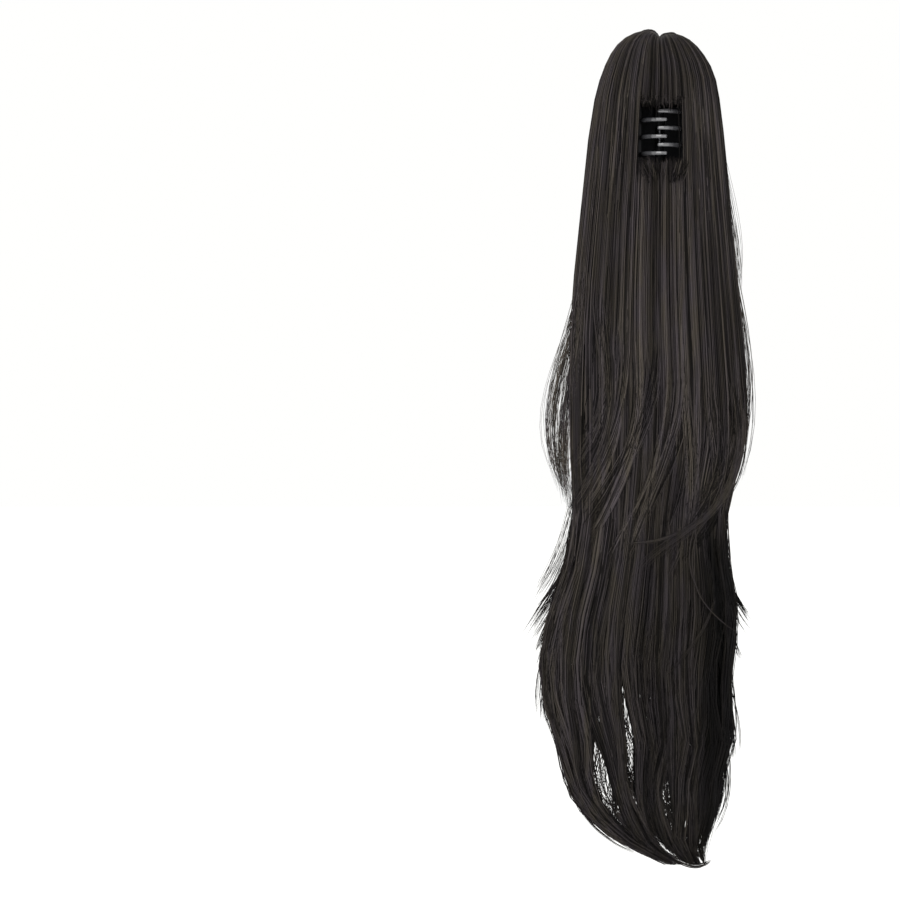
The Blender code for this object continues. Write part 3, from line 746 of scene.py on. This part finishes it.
# side and spread are shares of the half width, root, start and tip are levels, tip_x and bow are
# millimetres, lean is how far the tip runs sideways for each length down, face is -1 on the claw's side,
# fine is a share of the strands' radius, lock is how many strands make a lock, and light is 1 for the
# lightest locks. A root of 0 is at the crown.
Layer = namedtuple(
    "Layer",
    "strands side spread root start tip tip_x tip_spread lean bow bow_spread face shell fine lock light",
)
FRONT_LAYERS = [
    Layer(80, -0.92, 0.06, 0.0, 0.275, 0.565, -68.5, 3.0, 0.50, -2.5, 4.2, -1, 1.00, 0.50, 2, 1.0),
    Layer(110, -0.92, 0.06, 0.0, 0.300, 0.575, -67.0, 3.0, 0.25, 0.0, 4.5, -1, 1.00, 0.50, 2, 1.0),
    Layer(32, -0.82, 0.16, 0.0, 0.30, 0.600, -61.0, 2.5, -0.10, 0.0, 1.5, -1, 1.00, 0.85, 4, 0.4),
    Layer(104, -0.62, 0.12, 0.0, 0.34, 0.540, -63.5, 3.0, -0.75, 2.0, 2.0, -1, 1.02, 0.80, 6, 0.8),
    Layer(112, -0.43, 0.11, 0.0, 0.36, 0.585, -62.5, 4.0, -0.65, 2.0, 2.0, -1, 1.03, 0.80, 8, 1.0),
    Layer(112, -0.14, 0.16, 0.158, 0.39, 0.620, -52.0, 5.0, -0.55, 2.0, 2.0, -1, 1.03, 0.80, 8, 1.0),
    Layer(96, 0.16, 0.14, 0.158, 0.42, 0.650, -30.0, 6.0, -0.40, 1.0, 2.0, -1, 1.02, 0.80, 8, 1.0),
    Layer(80, 0.36, 0.10, 0.158, 0.43, 0.660, 2.0, 6.0, -0.50, 1.0, 2.0, -1, 1.02, 0.80, 8, 0.9),
    Layer(104, 0.60, 0.14, 0.0, 0.44, 0.640, 12.0, 7.0, -1.00, 3.0, 2.0, -1, 1.03, 0.80, 8, 0.8),
    Layer(96, 0.84, 0.11, 0.0, 0.42, 0.600, 20.0, 5.0, -1.30, 4.0, 1.5, -1, 1.03, 0.80, 6, 0.7),
    Layer(52, 0.94, 0.05, 0.0, 0.20, 0.545, 57.0, 2.0, -0.25, 3.0, 2.5, 1, 1.00, 0.50, 2, 1.0),
    Layer(18, 0.97, 0.02, 0.0, 0.10, 0.330, 57.8, 1.2, -0.05, 0.2, 1.0, 1, 1.01, 0.50, 1, 1.0),
]


def layer_strands(rng, row):
    total = row.strands
    lock = np.arange(total) // row.lock
    locks = lock[-1] + 1
    wisp = np.arange(total) // 2
    own = rng.uniform(-1, 1, locks)[lock]
    side = np.clip(row.side + row.spread * own + rng.normal(0, 0.013, total), -0.985, 0.985)
    shifted = 0.8 * np.clip(rng.normal(0, 1, locks), -2, 2)[lock] + 0.3 * rng.uniform(-1, 1, total)
    bowed = 0.8 * np.clip(rng.normal(0, 1, locks), -2, 2)[lock] + 0.3 * rng.uniform(-1, 1, total)
    tip = row.tip - 0.03 * rng.random(locks)[lock]
    return {
        "side": side,
        "lock_side": side,
        "face": np.full(total, float(row.face)),
        "shell": row.shell + 0.012 * rng.uniform(-1, 1, locks)[lock] + rng.normal(0, 0.008, total),
        "start": row.root + 0.012 * rng.random(total) * (row.root > 0),
        "end": np.clip(tip - np.abs(rng.normal(0, 0.009, total)), 0.05, 0.998),
        "sway": 0.3 * rng.uniform(-1, 1, locks)[lock],
        "turn": rng.uniform(0, 2 * math.pi, locks)[lock],
        "tone": row.light * mixed_tone(rng, lock, wisp),
        "gather": np.zeros(total),
        "parts": np.zeros(total),
        "begin": row.start + 0.012 * rng.normal(0, 1, locks)[lock],
        "tip": tip,
        "tip_x": (row.tip_x + row.tip_spread * shifted) / 1000,
        "lean": row.lean + 0.08 * rng.normal(0, 1, locks)[lock],
        "bow": (row.bow + row.bow_spread * bowed) / 1000,
        "radius": np.full(total, row.fine * STRAND_RADIUS),
    }


def layer_levels(strands, crown):
    """Levels of every strand's points, closest together between where it leaves its place and its tip."""
    total = len(strands["end"])
    begin, end, root = (strands[key][:, None] for key in ("begin", "end", "start"))
    if crown:
        straight = np.linspace(0, 1, LAYER_UPPER - len(CROWN_LEVELS) + 1)[1:]
        rest = CROWN_LEVELS[-1] + (begin - CROWN_LEVELS[-1]) * straight
        upper = np.concatenate([np.tile(CROWN_LEVELS, (total, 1)), rest], 1)
    else:
        upper = root + (begin - root) * np.linspace(0, 1, LAYER_UPPER + len(CROWN_STEPS))
    return np.concatenate([upper, begin + (end - begin) * np.linspace(0, 1, LAYER_LOWER + 1)[1:]], 1)


def swing(strands, down, x, shell):
    """Leads each strand from its place at begin along one smooth curve to its tip."""
    begin, tip = strands["begin"][:, None], strands["tip"][:, None]
    centre, half, _, _ = fall_at(begin)
    first = centre + half * shell * strands["side"][:, None]
    drop = (tip - begin) * LENGTH
    s = np.clip((down - begin) / (tip - begin), 0, 1.1)
    leave = first + strands["bow"][:, None]
    arrive = strands["tip_x"][:, None] - strands["lean"][:, None] * drop / 3 + strands["bow"][:, None]
    curve = (
        (1 - s) ** 3 * first
        + 3 * s * (1 - s) ** 2 * leave
        + 3 * s * s * (1 - s) * arrive
        + s**3 * strands["tip_x"][:, None]
    )
    return np.where(down > begin, curve, x)


def layer_piece(name, rng, rows, span):
    paths, tones, radii = [], [], []
    for row in rows:
        strands = layer_strands(rng, row)
        crown = row.root == 0
        paths.append(hang(rng, strands, layer_levels(strands, crown), steer=swing, crown=crown))
        tones.append(strands["tone"])
        radii.append(strands["radius"])
    path, tone, radius = (np.concatenate(part) for part in (paths, tones, radii))
    return strand_piece(name, path, tone, radius, hair_fibre, span, fine_root=True)


front_layers = layer_piece("front_layer_strands", np.random.default_rng(71), FRONT_LAYERS, (0.04, 1.0))
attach(front_layers, "ponytail")


# Tail layers: shorter locks under the front ones that end along both edges of the lower half.
# Their ends are cut to points and flick outwards.
TAIL_LAYERS = [
    Layer(52, -0.93, 0.04, 0.36, 0.57, 0.737, -95.0, 3.5, -0.75, -2.0, 2.5, -1, 1.00, 0.55, 2, 1.0),
    Layer(34, -0.95, 0.03, 0.36, 0.52, 0.700, -90.0, 3.5, -0.75, -1.0, 2.0, -1, 1.00, 0.50, 2, 1.0),
    Layer(40, -0.80, 0.10, 0.36, 0.50, 0.722, -92.0, 3.0, -0.75, 3.0, 2.0, -1, 0.97, 0.70, 6, 0.8),
    Layer(48, -0.84, 0.10, 0.40, 0.56, 0.765, -91.0, 3.0, -0.40, -1.0, 2.0, 1, 0.97, 0.70, 6, 0.8),
    Layer(48, -0.80, 0.12, 0.44, 0.60, 0.830, -86.0, 3.0, 0.05, -4.0, 2.0, -1, 0.98, 0.70, 6, 0.9),
    Layer(40, -0.86, 0.08, 0.50, 0.66, 0.865, -77.0, 3.0, 0.30, -3.0, 2.0, 1, 0.98, 0.70, 6, 0.9),
    # These right rows have low light, 0.4 to 0.5: painted shade of the lower layers under the crossing
    # lock.
    Layer(56, 0.74, 0.12, 0.38, 0.54, 0.725, 64.5, 2.5, 0.65, -3.0, 2.0, -1, 0.96, 0.70, 6, 0.4),
    Layer(48, 0.76, 0.12, 0.42, 0.58, 0.765, 56.0, 3.0, 0.25, -1.0, 2.0, 1, 0.97, 0.70, 6, 0.4),
    Layer(56, 0.80, 0.10, 0.50, 0.66, 0.875, 54.0, 2.0, -0.05, 0.5, 1.5, -1, 0.98, 0.70, 6, 0.5),
    Layer(40, 0.84, 0.10, 0.62, 0.78, 0.968, 37.0, 3.0, -0.60, -1.5, 1.5, -1, 0.98, 0.70, 6, 0.8),
]
tail_layers = layer_piece("tail_layer_strands", np.random.default_rng(83), TAIL_LAYERS, (0.0, 0.66))
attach(tail_layers, "ponytail")


# Crossing locks: the lowest front lock of the right side, which lies across the front to the left, and
# the single strands that come loose from it.
CROSSING_POINTS = 20
LINE_POINTS = 200

# way holds points across and up in millimetres that the lock runs through. width is its half width where
# it starts, flare is its width at the end for each part of that, and stagger is the share of its length in
# which its strands end.
Crossing = namedtuple("Crossing", "strands width flare stagger shell fine way")
CROSSINGS = [
    Crossing(44, 2.6, 0.30, 0.25, 1.07, 0.60, [
        (52, -150), (58, -190), (60, -218), (55, -245), (46, -265), (31, -280), (13, -290), (-6, -296),
        (-28, -298),
    ]),
    Crossing(16, 1.0, 3.20, 0.25, 1.12, 0.60, [
        (54, -180), (57, -215), (51, -250), (36, -274), (17, -290), (1, -301), (-13, -313), (-20, -326),
    ]),
    Crossing(6, 0.5, 0.80, 0.20, 1.12, 0.60, [
        (46, -255), (34, -276), (25, -292), (22, -310), (25, -330), (34, -345), (48, -358), (58, -364),
    ]),
    Crossing(5, 0.5, 1.20, 0.20, 1.12, 0.60, [
        (44, -250), (28, -278), (21, -295), (20, -314), (25, -330), (34, -344),
    ]),
    Crossing(9, 1.5, 1.80, 0.30, 1.08, 0.55, [
        (40, -335), (34, -352), (25, -368), (12, -384), (-1, -396),
    ]),
    Crossing(30, 2.2, 0.50, 0.30, 0.80, 0.90, [
        (-34, -492), (-12, -517), (7, -527), (21, -533), (31, -533), (38, -529),
    ]),
    Crossing(14, 0.9, 1.00, 0.40, 0.90, 0.60, [
        (-75, -440), (-70, -462), (-63, -484), (-50, -503), (-34, -516), (-18, -524),
    ]),
]


def through(way, count):
    """count points on a Catmull-Rom curve through the points of way."""
    ends = np.concatenate([[2 * way[0] - way[1]], way, [2 * way[-1] - way[-2]]])
    place = np.linspace(0, len(way) - 1 - 1e-9, count)
    i = place.astype(int)
    f = (place - i)[:, None]
    a, b, c, d = ends[i], ends[i + 1], ends[i + 2], ends[i + 3]
    return b + 0.5 * f * (c - a + f * (2 * a - 5 * b + 4 * c - d + f * (3 * (b - c) + d - a)))


def laid(rng, row):
    """The points of a lock's strands on the front of the fall, beside one line and ending one by one."""
    line = through(np.array(row.way, float) / 1000, LINE_POINTS)
    run = np.linspace(0, 1, LINE_POINTS)
    across = np.gradient(line, axis=0)[:, ::-1] * (1, -1)
    across /= np.linalg.norm(across, axis=1, keepdims=True)
    share = np.linspace(0, 1, CROSSING_POINTS) * (1 - row.stagger * rng.random((row.strands, 1)))
    apart = np.clip(rng.normal(0, 0.6, (row.strands, 1)), -1.4, 1.4)
    offset = row.width / 1000 * apart * (1 + (row.flare - 1) * share)
    x = np.interp(share, run, line[:, 0]) + offset * np.interp(share, run, across[:, 0])
    z = np.interp(share, run, line[:, 1]) + offset * np.interp(share, run, across[:, 1])
    down = (CROWN - z) / LENGTH
    centre, half, depth, middle = fall_at(down)
    shell = 0.97 + (row.shell - 0.97) * np.clip(share / 0.35, 0, 1) + rng.normal(0, 0.008, (row.strands, 1))
    reach = np.clip((x - centre) / (half * shell), -1, 1)
    return np.stack([x, middle - depth * shell * round_off(reach), z], -1)


# These strands lie over the hair below the lock, so the painted shadow of the lock darkens them only a
# little.
loose_fibre = hair_fibre.copy()
loose_fibre.name = "loose_fibre"
loose_fibre.node_tree.nodes[painted_lock_shadow.name].inputs["To Max"].default_value = 0.8

crossing_rng = np.random.default_rng(97)
crossing_path = np.concatenate([laid(crossing_rng, row) for row in CROSSINGS])
crossing_tone = crossing_rng.random(len(crossing_path))
crossing_radius = np.concatenate([np.full(row.strands, row.fine * STRAND_RADIUS) for row in CROSSINGS])
crossing_locks = strand_piece(
    "crossing_lock_strands",
    crossing_path,
    crossing_tone,
    crossing_radius,
    loose_fibre,
    (0.40, 1.0),
    fine_root=True,
)
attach(crossing_locks, "ponytail")


# Room: a plain white floor that runs far back, a white sky and three soft lights.
FLOOR_BELOW = 0.22

bm = bmesh.new()
bmesh.ops.create_grid(bm, x_segments=8, y_segments=8, size=30.0)
floor_mesh = bpy.data.meshes.new("floor")
bm.to_mesh(floor_mesh)
bm.free()
floor = bpy.data.objects.new("floor", floor_mesh)
floor.location.z = CROWN - LENGTH - FLOOR_BELOW
bpy.context.scene.collection.objects.link(floor)
floor_paint, tree, shader = new_material("floor_paint")
shader.inputs["Base Color"].default_value = (0.92, 0.92, 0.91, 1.0)
shader.inputs["Roughness"].default_value = 1.0
shader.inputs["Specular IOR Level"].default_value = 0.0
shader.inputs["Emission Color"].default_value = (1.0, 1.0, 0.995, 1.0)
shader.inputs["Emission Strength"].default_value = 0.25
floor_mesh.materials.append(floor_paint)

world = bpy.data.worlds.new("white_room")
world.use_nodes = True
world.node_tree.nodes["Background"].inputs["Color"].default_value = (1.0, 1.0, 0.99, 1.0)
world.node_tree.nodes["Background"].inputs["Strength"].default_value = 1.0
bpy.context.scene.world = world

Lamp = namedtuple("Lamp", "name place aim size watts")
LAMPS = [
    Lamp("top_light", (-0.3, -1.4, 1.4), (0.0, 0.0, 0.0), 0.60, 7.0),
    Lamp("front_light", (-0.4, -1.9, 0.1), (0.0, 0.0, -0.20), 0.60, 5.0),
    Lamp("fill_light", (0.9, -1.4, 0.3), (0.0, 0.0, -0.20), 0.60, 4.0),
]
for row in LAMPS:
    lamp = bpy.data.lights.new(row.name, "AREA")
    lamp.size = row.size
    lamp.energy = row.watts
    holder = bpy.data.objects.new(row.name, lamp)
    holder.location = row.place
    holder.rotation_euler = (Vector(row.aim) - Vector(row.place)).to_track_quat("-Z", "Y").to_euler()
    bpy.context.scene.collection.objects.link(holder)

# The camera looks straight at the claw's side, with the hair right of the picture's middle.
# PIXEL is the size of one of the picture's pixels on the hair, and the claw's centre lies at CLAW_PIXEL.
PIXEL = 0.728 / 1000
PICTURE = 900
CLAW_PIXEL = (661, 134)
DISTANCE = 2.6
SENSOR = 36.0
camera_data = bpy.data.cameras.new("camera")
camera_data.sensor_width = SENSOR
camera_data.lens = SENSOR * DISTANCE / (PICTURE * PIXEL)
camera_data.clip_end = 100.0
camera = bpy.data.objects.new("camera", camera_data)
camera.location = (
    (PICTURE / 2 - CLAW_PIXEL[0]) * PIXEL,
    -DISTANCE,
    (CLAW_PIXEL[1] - PICTURE / 2) * PIXEL,
)
camera.rotation_euler = (math.radians(90), 0, 0)
bpy.context.scene.collection.objects.link(camera)
bpy.context.scene.camera = camera
bpy.context.scene.view_settings.view_transform = "Standard"
